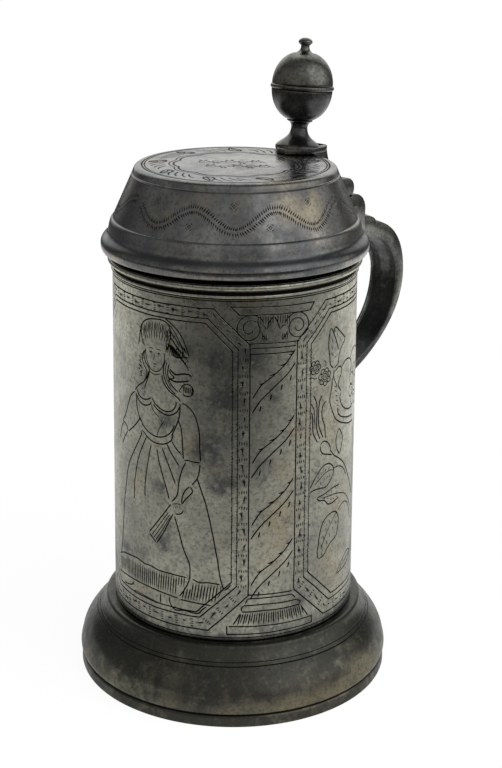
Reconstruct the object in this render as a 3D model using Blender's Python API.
"""Lidded pewter tankard: a tapering drum on a flared foot, an ear-shaped strap handle, and a hinged lid
with a ball thumbpiece. Metres, +Z up. The handle lies along +X. The origin is the middle of the object's
box on the surface that it stands on, so the drum's own axis is a little to the -X side of it."""

import math

import bmesh
import bpy
from mathutils import Vector

# Fits between pieces
SEAT_GAP = 0.0003
RUN_GAP = 0.0004
BORE_GAP = 0.00025

# How finely round shapes are divided
TURNED_STEPS = 64
SMALL_STEPS = 40
PIN_STEPS = 24
CURVE_STEPS = 8

# Foot
FOOT_RADIUS = 0.0632
FOOT_HEIGHT = 0.0295
FOOT_RIM_WALL = 0.0028
FOOT_FILLET_HEIGHT = 0.0046
FOOT_FILLET_STEP = 0.0008
FOOT_FILLET_EDGE = 0.0004
FOOT_SIDE_LEAN = 0.0004
FOOT_SIDE_HEIGHT = 0.0110
FOOT_COLLAR = 0.0020
FOOT_ROLL = 0.0020
FOOT_LEDGE = 0.0013
FOOT_LEDGE_THICKNESS = 0.0012
HOLLOW_KNEE_INSET = 0.0044
HOLLOW_KNEE_HEIGHT = 0.0080
HOLLOW_NECK_SPREAD = 0.0008
HOLLOW_NECK_DROP = 0.0040
OGEE_TOP_PULL = (0.0016, -0.0055)
OGEE_LOW_PULL = (-0.0011, 0.0078)

# Drum and the disc that closes it
DRUM_BASE_RADIUS = 0.0486
DRUM_TOP_RADIUS = 0.0473
DRUM_WALL = 0.0020
RIM_HEIGHT = 0.1722
RIM_BEAD_HEIGHT = 0.0030
RIM_BEAD_DEPTH = 0.0011
RIM_BAND_HEIGHT = 0.0024
RIM_BAND_DEPTH = 0.0005
BASE_THICKNESS = 0.0025

# Lid
LID_WALL = 0.0020
LIP_OVERHANG = 0.0033
LIP_ROLL = 0.0022
LIP_UNDERCUT = 0.0023
LOWER_BAND_INSET = 0.0041
LOWER_BAND_HEIGHT = 0.0147
COVE_HEIGHT = 0.0045
LEDGE_ROUND = 0.0011
SLOPE_INSET = 0.0057
SLOPE_LEAN = 0.0071
SLOPE_HEIGHT = 0.0166
SHOULDER_ROUND = 0.0022
LOCATING_RIM_DEPTH = 0.0042
LOCATING_RIM_WALL = 0.0018
LOCATING_RIM_GAP = 0.0008

# Hinge
KNUCKLE_RADIUS = 0.0072
KNUCKLE_WIDTH = 0.0064
BARREL_LENGTH = 0.0150
PIN_RADIUS = 0.00175
PIN_HEAD_RADIUS = 0.0027
PIN_HEAD_HEIGHT = 0.0008
HINGE_SETBACK = 0.0061
HINGE_RISE = 0.0059

# Handle
HANDLE_WIDTH = 0.0146
HANDLE_CROWN = 0.0008
HANDLE_HOLLOW = 0.0006
HANDLE_THICKNESS = 0.0043
FINGER_GAP = 0.0491
HANDLE_BLOCK_THICKNESS = 0.0080
HANDLE_BLOCK_LENGTH = 0.0071
HANDLE_STEP = 0.0017
HANDLE_WIDEST_DROP = 0.0262
HANDLE_END_DROP = 0.0707
HANDLE_END_THICKNESS = 0.0040
HANDLE_ROOT_DROP = 0.0067
HANDLE_ROOT_THICKNESS = 0.0100
HANDLE_SINK = 0.0015

# Strap that joins the lid to the hinge
PLATE_FRONT = 0.0103
PLATE_NOSE = 0.0038
PLATE_CHAMFER = 0.0076
PLATE_SIDE = 0.0080
PLATE_REAR_CHAMFER = 0.0043
PLATE_THICKNESS = 0.0021
LEG_WIDTH = 0.0140
LEG_ROLL_RADIUS = 0.0045
LEG_ROLL_BACK = 0.0045
LEG_ROLL_RISE = 0.0099

# Ball thumbpiece, turned about an axis that leans back towards the handle
THUMB_INSET = 0.0001
THUMB_LEAN = math.radians(4.9)
STEM_BASE_RADIUS = 0.0083
STEM_CONE_TOP_RADIUS = 0.0044
STEM_CONE_HEIGHT = 0.0034
STEM_RADIUS = 0.0033
STEM_WAIST_HEIGHT = 0.0029
COLLAR_RADIUS = 0.0047
COLLAR_RISE = 0.0029
COLLAR_EDGE = 0.0006
BALL_RADIUS = 0.0120
BALL_LOWER_HEIGHT = 0.0130
BALL_UPPER_HEIGHT = 0.0136
BALL_WALL = 0.0015
BALL_SEAT_RADIUS = 0.0033
BALL_CROWN_RADIUS = 0.0043
SEAM_DEPTH = 0.00045
SEAM_HEIGHT = 0.0015
FINIAL_BASE_RADIUS = 0.0040
FINIAL_NECK_RADIUS = 0.00165
FINIAL_NECK_HEIGHT = 0.0027
FINIAL_KNOB_RADIUS = 0.00275
FINIAL_KNOB_HEIGHT = 0.0033

# Places that follow from the sizes above
BASE_Z = FOOT_HEIGHT + SEAT_GAP
RIM_RADIUS = DRUM_TOP_RADIUS + RIM_BEAD_DEPTH
RIM_BAND_Z = RIM_HEIGHT - RIM_BEAD_HEIGHT - RIM_BAND_HEIGHT
MOUTH_RADIUS = DRUM_TOP_RADIUS - DRUM_WALL
LID_SEAT_Z = RIM_HEIGHT + SEAT_GAP
LIP_RADIUS = RIM_RADIUS + LIP_OVERHANG
LOWER_BAND_RADIUS = LIP_RADIUS - LOWER_BAND_INSET
SLOPE_FOOT_RADIUS = LIP_RADIUS - SLOPE_INSET
SLOPE_TOP_RADIUS = SLOPE_FOOT_RADIUS - SLOPE_LEAN
LEDGE_Z = LID_SEAT_Z + LOWER_BAND_HEIGHT
SLOPE_TOP_Z = LEDGE_Z + SLOPE_HEIGHT
LID_TOP_Z = SLOPE_TOP_Z + SHOULDER_ROUND
HINGE_X = LIP_RADIUS + HINGE_SETBACK + KNUCKLE_RADIUS
HINGE_Z = LID_SEAT_Z + HINGE_RISE
HANDLE_INNER_REACH = DRUM_TOP_RADIUS + FINGER_GAP
HANDLE_EDGE_REACH = HANDLE_INNER_REACH + HANDLE_THICKNESS
HANDLE_REACH = HANDLE_EDGE_REACH + HANDLE_CROWN
VESSEL_X = (FOOT_RADIUS - HANDLE_REACH) / 2
PLATE_Z = LID_TOP_Z + SEAT_GAP
PLATE_TOP_Z = PLATE_Z + PLATE_THICKNESS
THUMB_X = SLOPE_TOP_RADIUS - SHOULDER_ROUND - THUMB_INSET


def clear_scene():
    for obj in list(bpy.data.objects):
        bpy.data.objects.remove(obj, do_unlink=True)


def pewter(name, colour, roughness, metallic=1.0):
    material = bpy.data.materials.new(name)
    material.use_nodes = True
    shader = material.node_tree.nodes["Principled BSDF"]
    shader.inputs["Base Color"].default_value = (*colour, 1.0)
    shader.inputs["Roughness"].default_value = roughness
    shader.inputs["Metallic"].default_value = metallic
    return material


def add_object(name, mesh_builder, parent, material, location=(0, 0, 0), lean=0.0, smooth_angle=35):
    mesh = bpy.data.meshes.new(name)
    bmesh.ops.recalc_face_normals(mesh_builder, faces=mesh_builder.faces)
    mesh_builder.to_mesh(mesh)
    mesh_builder.free()
    mesh.shade_smooth()
    mesh.set_sharp_from_angle(angle=math.radians(smooth_angle))
    obj = bpy.data.objects.new(name, mesh)
    bpy.context.scene.collection.objects.link(obj)
    obj.parent = parent
    obj.location = location
    obj.rotation_euler = (0.0, lean, 0.0)
    if material:
        mesh.materials.append(material)
    return obj


def add_empty(name, location, parent=None):
    empty = bpy.data.objects.new(name, None)
    bpy.context.scene.collection.objects.link(empty)
    empty.parent = parent
    empty.location = location
    return empty


def cutter(obj):
    obj.hide_render = True
    obj.display_type = "WIRE"
    return obj


def boolean(obj, other, operation):
    modifier = obj.modifiers.new(operation.lower(), "BOOLEAN")
    modifier.operation = operation
    modifier.solver = "EXACT"
    modifier.object = cutter(other)


def arc(centre, radius, start, end, steps=CURVE_STEPS):
    """Points of a circular arc in the (r, z) plane, angles in degrees."""
    points = []
    for i in range(steps + 1):
        angle = math.radians(start + (end - start) * i / steps)
        points.append((centre[0] + radius * math.cos(angle), centre[1] + radius * math.sin(angle)))
    return points


def oval(centre, wide, tall, start, end, steps=CURVE_STEPS):
    """Points of an arc of an ellipse in the (r, z) plane, angles in degrees."""
    unit = arc((0.0, 0.0), 1.0, start, end, steps)
    return [(centre[0] + wide * x, centre[1] + tall * y) for x, y in unit]


def bezier(p0, p1, p2, p3, steps=CURVE_STEPS, first=0.0, last=1.0):
    points = []
    for i in range(steps + 1):
        t = first + (last - first) * i / steps
        s = 1 - t
        weights = (s * s * s, 3 * s * s * t, 3 * s * t * t, t * t * t)
        points.append(tuple(sum(w * p[k] for w, p in zip(weights, (p0, p1, p2, p3))) for k in (0, 1)))
    return points


def shifted(point, offset):
    return (point[0] + offset[0], point[1] + offset[1])


def turned(profile, steps=TURNED_STEPS):
    """A closed (r, z) outline spun about Z."""
    builder = bmesh.new()
    verts = [builder.verts.new((max(r, 0.0), 0.0, z)) for r, z in profile]
    edges = [builder.edges.new((verts[i - 1], verts[i])) for i in range(len(verts))]
    bmesh.ops.spin(
        builder, geom=verts + edges, cent=(0, 0, 0), axis=(0, 0, 1), angle=2 * math.pi, steps=steps
    )
    bmesh.ops.remove_doubles(builder, verts=builder.verts, dist=1e-6)
    flat = [face for face in builder.faces if face.calc_area() < 1e-12]
    bmesh.ops.delete(builder, geom=flat, context="FACES")
    return builder


def side_prism(outline, half_width):
    """An (x, z) outline given thickness along Y."""
    builder = bmesh.new()
    face = builder.faces.new([builder.verts.new((x, -half_width, z)) for x, z in outline])
    grown = bmesh.ops.extrude_face_region(builder, geom=[face])
    moved = [item for item in grown["geom"] if isinstance(item, bmesh.types.BMVert)]
    bmesh.ops.translate(builder, verts=moved, vec=(0, 2 * half_width, 0))
    return builder


def plan_prism(outline, low, high):
    """An (x, y) outline given height along Z."""
    builder = bmesh.new()
    face = builder.faces.new([builder.verts.new((x, y, low)) for x, y in outline])
    grown = bmesh.ops.extrude_face_region(builder, geom=[face])
    moved = [item for item in grown["geom"] if isinstance(item, bmesh.types.BMVert)]
    bmesh.ops.translate(builder, verts=moved, vec=(0, 0, high - low))
    return builder


def hinge_prism(radius, half_width, steps=PIN_STEPS):
    """A cylinder along Y on the hinge axis."""
    return side_prism(arc((HINGE_X, HINGE_Z), radius, 0, 360 - 360 / steps, steps - 1), half_width)


def drum_radius(z):
    share = (z - BASE_Z) / (RIM_HEIGHT - BASE_Z)
    return DRUM_BASE_RADIUS + (DRUM_TOP_RADIUS - DRUM_BASE_RADIUS) * share


def foot_profile():
    side_radius = FOOT_RADIUS - FOOT_FILLET_STEP
    roll_centre = (DRUM_BASE_RADIUS + FOOT_COLLAR, FOOT_HEIGHT - FOOT_ROLL)
    roll = arc(roll_centre, FOOT_ROLL, 90, 20, 4)
    ogee_low = (side_radius - FOOT_SIDE_LEAN, FOOT_SIDE_HEIGHT)
    ogee = bezier(
        roll[-1], shifted(roll[-1], OGEE_TOP_PULL), shifted(ogee_low, OGEE_LOW_PULL), ogee_low, 12
    )
    side_foot = (side_radius, FOOT_FILLET_HEIGHT + FOOT_FILLET_STEP)
    fillet = [
        (side_radius, FOOT_FILLET_HEIGHT + FOOT_FILLET_EDGE),
        (FOOT_RADIUS - FOOT_FILLET_EDGE, FOOT_FILLET_HEIGHT),
        (FOOT_RADIUS, FOOT_FILLET_HEIGHT - FOOT_FILLET_EDGE),
        (FOOT_RADIUS, FOOT_FILLET_EDGE),
        (FOOT_RADIUS - FOOT_FILLET_EDGE, 0.0),
    ]
    ledge_radius = DRUM_BASE_RADIUS - DRUM_WALL - FOOT_LEDGE
    hollow = [
        (FOOT_RADIUS - FOOT_RIM_WALL, 0.0),
        (FOOT_RADIUS - HOLLOW_KNEE_INSET, HOLLOW_KNEE_HEIGHT),
        (DRUM_BASE_RADIUS + HOLLOW_NECK_SPREAD, FOOT_HEIGHT - HOLLOW_NECK_DROP),
        (ledge_radius, FOOT_HEIGHT - FOOT_LEDGE_THICKNESS),
        (ledge_radius, FOOT_HEIGHT),
    ]
    return roll + ogee[1:] + [side_foot] + fillet + hollow


def base_profile():
    radius = DRUM_BASE_RADIUS - DRUM_WALL - SEAT_GAP
    top_z = BASE_Z + BASE_THICKNESS
    return [(0.0, top_z), (radius, top_z), (radius, BASE_Z), (0.0, BASE_Z)]


def drum_profile():
    bead_half = RIM_BEAD_HEIGHT / 2
    bead_centre = (DRUM_TOP_RADIUS, RIM_HEIGHT - bead_half)
    bead = oval(bead_centre, RIM_BEAD_DEPTH, bead_half, 90, -90, 6)
    band = [
        (DRUM_TOP_RADIUS + RIM_BAND_DEPTH, RIM_HEIGHT - RIM_BEAD_HEIGHT),
        (DRUM_TOP_RADIUS + RIM_BAND_DEPTH, RIM_BAND_Z + RIM_BAND_DEPTH),
        (drum_radius(RIM_BAND_Z), RIM_BAND_Z),
    ]
    return bead[:-1] + band + [
        (DRUM_BASE_RADIUS, BASE_Z),
        (DRUM_BASE_RADIUS - DRUM_WALL, BASE_Z),
        (MOUTH_RADIUS, RIM_HEIGHT),
    ]


def lid_slope(gap=0.0):
    """The lid's outside from its flat top to its ledge, or a line that lies gap outside it."""
    shoulder_centre = (SLOPE_TOP_RADIUS - SHOULDER_ROUND, SLOPE_TOP_Z)
    shoulder = arc(shoulder_centre, SHOULDER_ROUND + gap, 90, 10, 5)
    return shoulder + [(SLOPE_FOOT_RADIUS + gap, LEDGE_Z + LEDGE_ROUND)]


def lid_lower_band(gap=0.0):
    """The upright band below the lid's ledge."""
    centre = (LOWER_BAND_RADIUS - LEDGE_ROUND, LEDGE_Z - LEDGE_ROUND)
    return arc(centre, LEDGE_ROUND + gap, 80, 0, 4)


def lid_profile():
    lip_centre = (LIP_RADIUS - LIP_ROLL, LID_SEAT_Z + LIP_UNDERCUT + LIP_ROLL)
    lip = arc(lip_centre, LIP_ROLL, 75, -75, 8)
    cove_top = (LOWER_BAND_RADIUS, lip[0][1] + COVE_HEIGHT)
    cove_pull = (0.0, -COVE_HEIGHT / 2)
    lip_pull = (-LIP_ROLL, COVE_HEIGHT / 4)
    cove = bezier(cove_top, shifted(cove_top, cove_pull), shifted(lip[0], lip_pull), lip[0], 6)
    outside = [(0.0, LID_TOP_Z)] + lid_slope() + lid_lower_band() + cove + lip[1:]
    rim_radius = MOUTH_RADIUS - LOCATING_RIM_GAP
    hollow = rim_radius - LOCATING_RIM_WALL
    underside = [
        (RIM_RADIUS, LID_SEAT_Z),
        (rim_radius, LID_SEAT_Z),
        (rim_radius, LID_SEAT_Z - LOCATING_RIM_DEPTH),
        (hollow, LID_SEAT_Z - LOCATING_RIM_DEPTH),
        (hollow, LID_SEAT_Z + LID_WALL),
        (LOWER_BAND_RADIUS - LID_WALL, cove[0][1] - LID_WALL),
        (LOWER_BAND_RADIUS - LID_WALL, LEDGE_Z - LID_WALL),
        (SLOPE_FOOT_RADIUS - LID_WALL, LEDGE_Z),
        (SLOPE_TOP_RADIUS - LID_WALL, SLOPE_TOP_Z - LID_WALL),
        (SLOPE_TOP_RADIUS - SHOULDER_ROUND - LID_WALL, LID_TOP_Z - LID_WALL),
        (0.0, LID_TOP_Z - LID_WALL),
    ]
    return outside + underside


def handle_lines():
    """Outer and inner line of the handle in the (x, z) plane, as equally many points, from its root on the
    drum, under the hinge, round the ear and back to the drum."""
    root_x = drum_radius(RIM_HEIGHT) - HANDLE_SINK
    root_top = (root_x, RIM_HEIGHT - HANDLE_ROOT_DROP)
    block_x = HINGE_X + KNUCKLE_RADIUS + RUN_GAP
    block_top = (block_x + SEAT_GAP, HINGE_Z - HANDLE_BLOCK_THICKNESS * 0.4)
    step_top = (block_x + HANDLE_BLOCK_LENGTH * 0.85, block_top[1] - HANDLE_STEP)
    step_foot = (block_x + HANDLE_BLOCK_LENGTH, step_top[1] - HANDLE_STEP)
    widest_z = RIM_HEIGHT - HANDLE_WIDEST_DROP
    end_z = RIM_HEIGHT - HANDLE_END_DROP
    end_x = drum_radius(end_z) - HANDLE_SINK
    widest = (HANDLE_EDGE_REACH, widest_z)
    end = (end_x, end_z)
    span = widest[0] - step_foot[0]
    drop = widest_z - end_z
    outer = bezier(
        root_top, shifted(root_top, (0.0075, 0.0060)), shifted(block_top, (-0.0105, -0.0003)), block_top
    )
    outer += [step_top, step_foot]
    outer += bezier(
        step_foot,
        shifted(step_foot, (span * 0.55, -0.0022)),
        shifted(widest, (0.0, (step_foot[1] - widest_z) * 0.60)),
        widest,
        10,
    )[1:]
    outer += bezier(
        widest, shifted(widest, (0.0, -drop * 0.49)), shifted(end, (span * 1.30, drop * 0.135)), end, 16
    )[1:]
    block_foot = (block_top[0], block_top[1] - HANDLE_BLOCK_THICKNESS)
    root_foot = (root_x, root_top[1] - HANDLE_ROOT_THICKNESS)
    inner_widest = (HANDLE_INNER_REACH, widest_z)
    inner_end = (end_x, end_z + HANDLE_END_THICKNESS)
    inner_span = inner_widest[0] - block_foot[0]
    inner_drop = widest_z - inner_end[1]
    inner = bezier(
        root_foot, shifted(root_foot, (0.0095, 0.0075)), shifted(block_foot, (-0.0100, 0.0002)), block_foot
    )
    ear = (
        block_foot,
        shifted(block_foot, (inner_span * 0.45, -0.0012)),
        shifted(inner_widest, (0.0, (block_foot[1] - widest_z) * 0.54)),
        inner_widest,
    )
    inner += bezier(*ear, 2, 0.0, 0.2)[1:]
    inner += bezier(*ear, 10, 0.2, 1.0)[1:]
    inner += bezier(
        inner_widest,
        shifted(inner_widest, (0.0, -inner_drop * 0.57)),
        shifted(inner_end, (inner_span * 1.20, inner_drop * 0.127)),
        inner_end,
        16,
    )[1:]
    return outer, inner


def handle_strap():
    """The ear itself: outer face crowned, inner face hollowed a little between its edges."""
    half = HANDLE_WIDTH / 2
    places = (-1.0, -0.6, 0.0, 0.6, 1.0)
    builder = bmesh.new()
    loops = []
    for outer, inner in zip(*handle_lines()):
        outwards = (Vector((outer[0], 0, outer[1])) - Vector((inner[0], 0, inner[1]))).normalized()
        loop = []
        for base, rise, order in ((outer, HANDLE_CROWN, places), (inner, HANDLE_HOLLOW, places[::-1])):
            for place in order:
                offset = outwards * rise * (1 - place * place)
                loop.append(builder.verts.new(Vector((base[0], place * half, base[1])) + offset))
        loops.append(loop)
    for first, second in zip(loops, loops[1:]):
        for i in range(len(first)):
            builder.faces.new((first[i - 1], first[i], second[i], second[i - 1]))
    builder.faces.new(loops[0])
    builder.faces.new(loops[-1][::-1])
    return builder


def drum_keepout():
    """The drum's outside and SEAT_GAP more, which the handle's two ends are cut to."""
    band_z = RIM_BAND_Z - SEAT_GAP
    return turned(
        [
            (0.0, LID_SEAT_Z),
            (RIM_RADIUS + SEAT_GAP, LID_SEAT_Z),
            (RIM_RADIUS + SEAT_GAP, band_z),
            (drum_radius(band_z) + SEAT_GAP, band_z),
            (drum_radius(BASE_Z) + SEAT_GAP, BASE_Z),
            (0.0, BASE_Z),
        ]
    )


def build_handle(vessel, material):
    handle = add_object("handle", handle_strap(), vessel, material, smooth_angle=40)
    slot_half = KNUCKLE_WIDTH / 2 + RUN_GAP
    cheek_half = (BARREL_LENGTH / 2 - slot_half) / 2
    web_foot = HINGE_Z - KNUCKLE_RADIUS - HANDLE_BLOCK_THICKNESS * 0.3
    cheek = arc((HINGE_X, HINGE_Z), KNUCKLE_RADIUS, -8, 188, 16)
    cheek += [(cheek[-1][0], web_foot), (cheek[0][0], web_foot)]
    for side, name in ((-1, "right"), (1, "left")):
        place = (0, side * (slot_half + cheek_half), 0)
        lug = add_object(f"cheek_{name}", side_prism(cheek, cheek_half), vessel, None, place)
        boolean(handle, lug, "UNION")
    slot = add_object("knuckle_slot", hinge_prism(KNUCKLE_RADIUS + RUN_GAP, slot_half), vessel, None)
    boolean(handle, slot, "DIFFERENCE")
    bore = add_object("cheek_bore", hinge_prism(PIN_RADIUS + BORE_GAP, BARREL_LENGTH), vessel, None)
    boolean(handle, bore, "DIFFERENCE")
    boolean(handle, add_object("drum_keepout", drum_keepout(), vessel, None), "DIFFERENCE")
    return handle


def build_pin(vessel, material):
    """A rod with both ends peened over, so its outline is a spool turned about the hinge axis."""
    half = BARREL_LENGTH / 2 + SEAT_GAP
    outline = [
        (0.0, half + PIN_HEAD_HEIGHT),
        (PIN_HEAD_RADIUS * 0.7, half + PIN_HEAD_HEIGHT),
        (PIN_HEAD_RADIUS, half + PIN_HEAD_HEIGHT * 0.4),
        (PIN_HEAD_RADIUS, half),
        (PIN_RADIUS, half),
    ]
    outline += [(r, -z) for r, z in outline[::-1]]
    pin = add_object("hinge_pin", turned(outline, PIN_STEPS), vessel, material, (HINGE_X, 0, HINGE_Z))
    pin.rotation_euler = (math.pi / 2, 0.0, 0.0)
    return pin


def leg_outline():
    """Side view of the strap's leg: outside from the plate down to the roll, then back up along the lid."""
    plate_rear = THUMB_X - PLATE_FRONT + PLATE_CHAMFER + PLATE_SIDE + PLATE_REAR_CHAMFER
    roll_centre = (HINGE_X - LEG_ROLL_BACK, HINGE_Z + LEG_ROLL_RISE)
    roll = arc(roll_centre, LEG_ROLL_RADIUS, 100, -28, 10)
    top = (plate_rear, PLATE_TOP_Z)
    fall = PLATE_TOP_Z - roll[0][1]
    reach = roll[0][0] - plate_rear
    outside = bezier(
        top, shifted(top, (reach * 0.10, -fall * 0.62)), shifted(roll[0], (-reach * 0.52, 0.0)), roll[0], 10
    )
    clear = KNUCKLE_RADIUS + RUN_GAP
    around = arc((HINGE_X, HINGE_Z), clear, 97, 152, 6)
    slope = lid_slope(SEAT_GAP)
    ledge = lid_lower_band(SEAT_GAP)
    lid_side = [(ledge[-1][0], around[-1][1])] + ledge[::-1] + slope[::-1]
    return outside + roll[1:] + around + lid_side + [(slope[0][0], PLATE_TOP_Z)]


def plate_outline():
    front = THUMB_X - PLATE_FRONT
    nose = PLATE_NOSE / 2
    side = nose + PLATE_CHAMFER
    bend = front + PLATE_CHAMFER
    rear = bend + PLATE_SIDE
    tail = LEG_WIDTH / 2
    half = [(front, nose), (bend, side), (rear, side), (rear + PLATE_REAR_CHAMFER, tail)]
    return half + [(x, -y) for x, y in half[::-1]]


def build_strap(hinge, material, place):
    strap = add_object("lid_strap", side_prism(leg_outline(), LEG_WIDTH / 2), hinge, material, place)
    plate = add_object("strap_plate", plan_prism(plate_outline(), PLATE_Z, PLATE_TOP_Z), hinge, None, place)
    boolean(strap, plate, "UNION")
    knuckle_half = KNUCKLE_WIDTH / 2
    knuckle = add_object("strap_knuckle", hinge_prism(KNUCKLE_RADIUS, knuckle_half, 32), hinge, None, place)
    boolean(strap, knuckle, "UNION")
    clear = KNUCKLE_RADIUS + RUN_GAP
    tongue = arc((HINGE_X, HINGE_Z), clear + LEG_ROLL_RADIUS * 0.4, 100, 150, 6)
    tongue += [(HINGE_X - KNUCKLE_RADIUS * 0.9, HINGE_Z), (HINGE_X, HINGE_Z + KNUCKLE_RADIUS * 0.3)]
    web = add_object("strap_web", side_prism(tongue, knuckle_half * 0.94), hinge, None, place)
    boolean(strap, web, "UNION")
    bore = add_object("knuckle_bore", hinge_prism(PIN_RADIUS + BORE_GAP, KNUCKLE_WIDTH), hinge, None, place)
    boolean(strap, bore, "DIFFERENCE")
    return strap


def ball_arc(height, from_radius, to_radius, wall, steps=9):
    """Half an egg shape, from the ring at from_radius to the ring at to_radius, measured from the seam."""
    wide = BALL_RADIUS - wall
    tall = height - wall
    start = math.acos(min(from_radius / wide, 1.0))
    end = math.acos(min(to_radius / wide, 1.0))
    angles = [start + (end - start) * i / steps for i in range(steps + 1)]
    return [(wide * math.cos(a), tall * math.sin(a)) for a in angles]


def ball_seat_drop():
    return BALL_LOWER_HEIGHT * math.sqrt(1 - (BALL_SEAT_RADIUS / BALL_RADIUS) ** 2)


def ball_crown_rise():
    return BALL_UPPER_HEIGHT * math.sqrt(1 - (BALL_CROWN_RADIUS / BALL_RADIUS) ** 2)


def stem_profile():
    """Heights above the strap's plate. The cone runs on below it and is cut there."""
    cone_lean = (STEM_BASE_RADIUS - STEM_CONE_TOP_RADIUS) / STEM_CONE_HEIGHT
    extra = STEM_CONE_HEIGHT / 2
    waist_z = STEM_CONE_HEIGHT + STEM_WAIST_HEIGHT
    collar_z = waist_z + COLLAR_RISE
    waist = bezier(
        (STEM_CONE_TOP_RADIUS, STEM_CONE_HEIGHT),
        (STEM_RADIUS, STEM_CONE_HEIGHT + STEM_WAIST_HEIGHT * 0.4),
        (STEM_RADIUS, waist_z + COLLAR_RISE * 0.5),
        (COLLAR_RADIUS, collar_z),
        10,
    )
    top = collar_z + COLLAR_EDGE
    upwards = [(STEM_BASE_RADIUS + cone_lean * extra, -extra)] + waist + [(COLLAR_RADIUS, top)]
    return [(0.0, top)] + upwards[::-1] + [(0.0, -extra)], top


def ball_lower_profile():
    outside = ball_arc(BALL_LOWER_HEIGHT, BALL_RADIUS, BALL_SEAT_RADIUS, 0.0)
    inside = ball_arc(BALL_LOWER_HEIGHT, BALL_RADIUS - BALL_WALL, 0.0, BALL_WALL)
    seam_half = SEAM_HEIGHT / 2
    seam_radius = BALL_RADIUS + SEAM_DEPTH
    seam = [(seam_radius, seam_half), (seam_radius, -seam_half)]
    below = [(r, -z) for r, z in outside if -z < -seam_half]
    hollow = [(r, -z) for r, z in inside[::-1]]
    lowest = -ball_seat_drop()
    return seam + below + [(0.0, lowest)] + hollow + [(hollow[-1][0], seam_half)]


def ball_upper_profile():
    foot = SEAM_HEIGHT / 2 + SEAT_GAP
    outside = ball_arc(BALL_UPPER_HEIGHT, BALL_CROWN_RADIUS, BALL_RADIUS, 0.0)
    inside = ball_arc(BALL_UPPER_HEIGHT, BALL_RADIUS - BALL_WALL, 0.0, BALL_WALL)
    above = [(r, z) for r, z in outside if z > foot]
    hollow = [(r, z) for r, z in inside if z > foot]
    wall = [(BALL_RADIUS, foot), (BALL_RADIUS - BALL_WALL, foot)]
    return [(0.0, ball_crown_rise())] + above + wall + hollow


def finial_profile():
    flare = bezier(
        (FINIAL_BASE_RADIUS, 0.0),
        (FINIAL_NECK_RADIUS, FINIAL_NECK_HEIGHT * 0.3),
        (FINIAL_NECK_RADIUS, FINIAL_NECK_HEIGHT * 0.7),
        (FINIAL_NECK_RADIUS, FINIAL_NECK_HEIGHT),
        6,
    )
    knob_half = FINIAL_KNOB_HEIGHT / 2
    knob_centre = (0.0, FINIAL_NECK_HEIGHT + knob_half)
    knob = oval(knob_centre, FINIAL_KNOB_RADIUS, knob_half, 90, -45, 9)
    return knob + flare[::-1] + [(0.0, 0.0)]


def build_thumbpiece(hinge, dark, place):
    base = Vector((THUMB_X, 0, PLATE_TOP_Z + SEAT_GAP))
    axis = Vector((math.sin(THUMB_LEAN), 0, math.cos(THUMB_LEAN)))
    offset = Vector(place)

    def add(name, profile, height):
        spot = offset + base + axis * height
        return add_object(name, turned(profile, SMALL_STEPS), hinge, dark, spot, THUMB_LEAN)

    outline, stem_top = stem_profile()
    stem = add("thumb_stem", outline, 0.0)
    reach = STEM_BASE_RADIUS * 3
    flat = [(THUMB_X + x * reach, y * reach) for x, y in ((-1, -1), (1, -1), (1, 1), (-1, 1))]
    below = plan_prism(flat, PLATE_Z - reach, base.z)
    boolean(stem, add_object("plate_keepout", below, hinge, None, place), "DIFFERENCE")
    seam = stem_top + SEAT_GAP + ball_seat_drop()
    add("thumb_ball_lower", ball_lower_profile(), seam)
    add("thumb_ball_upper", ball_upper_profile(), seam)
    add("thumb_finial", finial_profile(), seam + ball_crown_rise() + SEAT_GAP)


def build():
    clear_scene()
    light = pewter("drum_pewter", (0.42, 0.41, 0.37), 0.38)
    grey = pewter("lid_pewter", (0.27, 0.27, 0.27), 0.34)
    brown = pewter("foot_pewter", (0.23, 0.22, 0.20), 0.36)
    dark = pewter("handle_pewter", (0.13, 0.13, 0.125), 0.40)
    iron = pewter("pin_iron", (0.11, 0.10, 0.09), 0.55)
    vessel = add_empty("vessel_axis", (VESSEL_X, 0, 0))
    hinge = add_empty("lid_hinge", (HINGE_X, 0, HINGE_Z), vessel)
    on_lid = (-HINGE_X, 0, -HINGE_Z)
    add_object("foot", turned(foot_profile()), vessel, brown)
    add_object("base_plate", turned(base_profile()), vessel, light)
    add_object("drum", turned(drum_profile()), vessel, light)
    build_handle(vessel, dark)
    build_pin(vessel, iron)
    add_object("lid", turned(lid_profile()), hinge, grey, on_lid)
    build_strap(hinge, dark, on_lid)
    build_thumbpiece(hinge, dark, on_lid)


build()
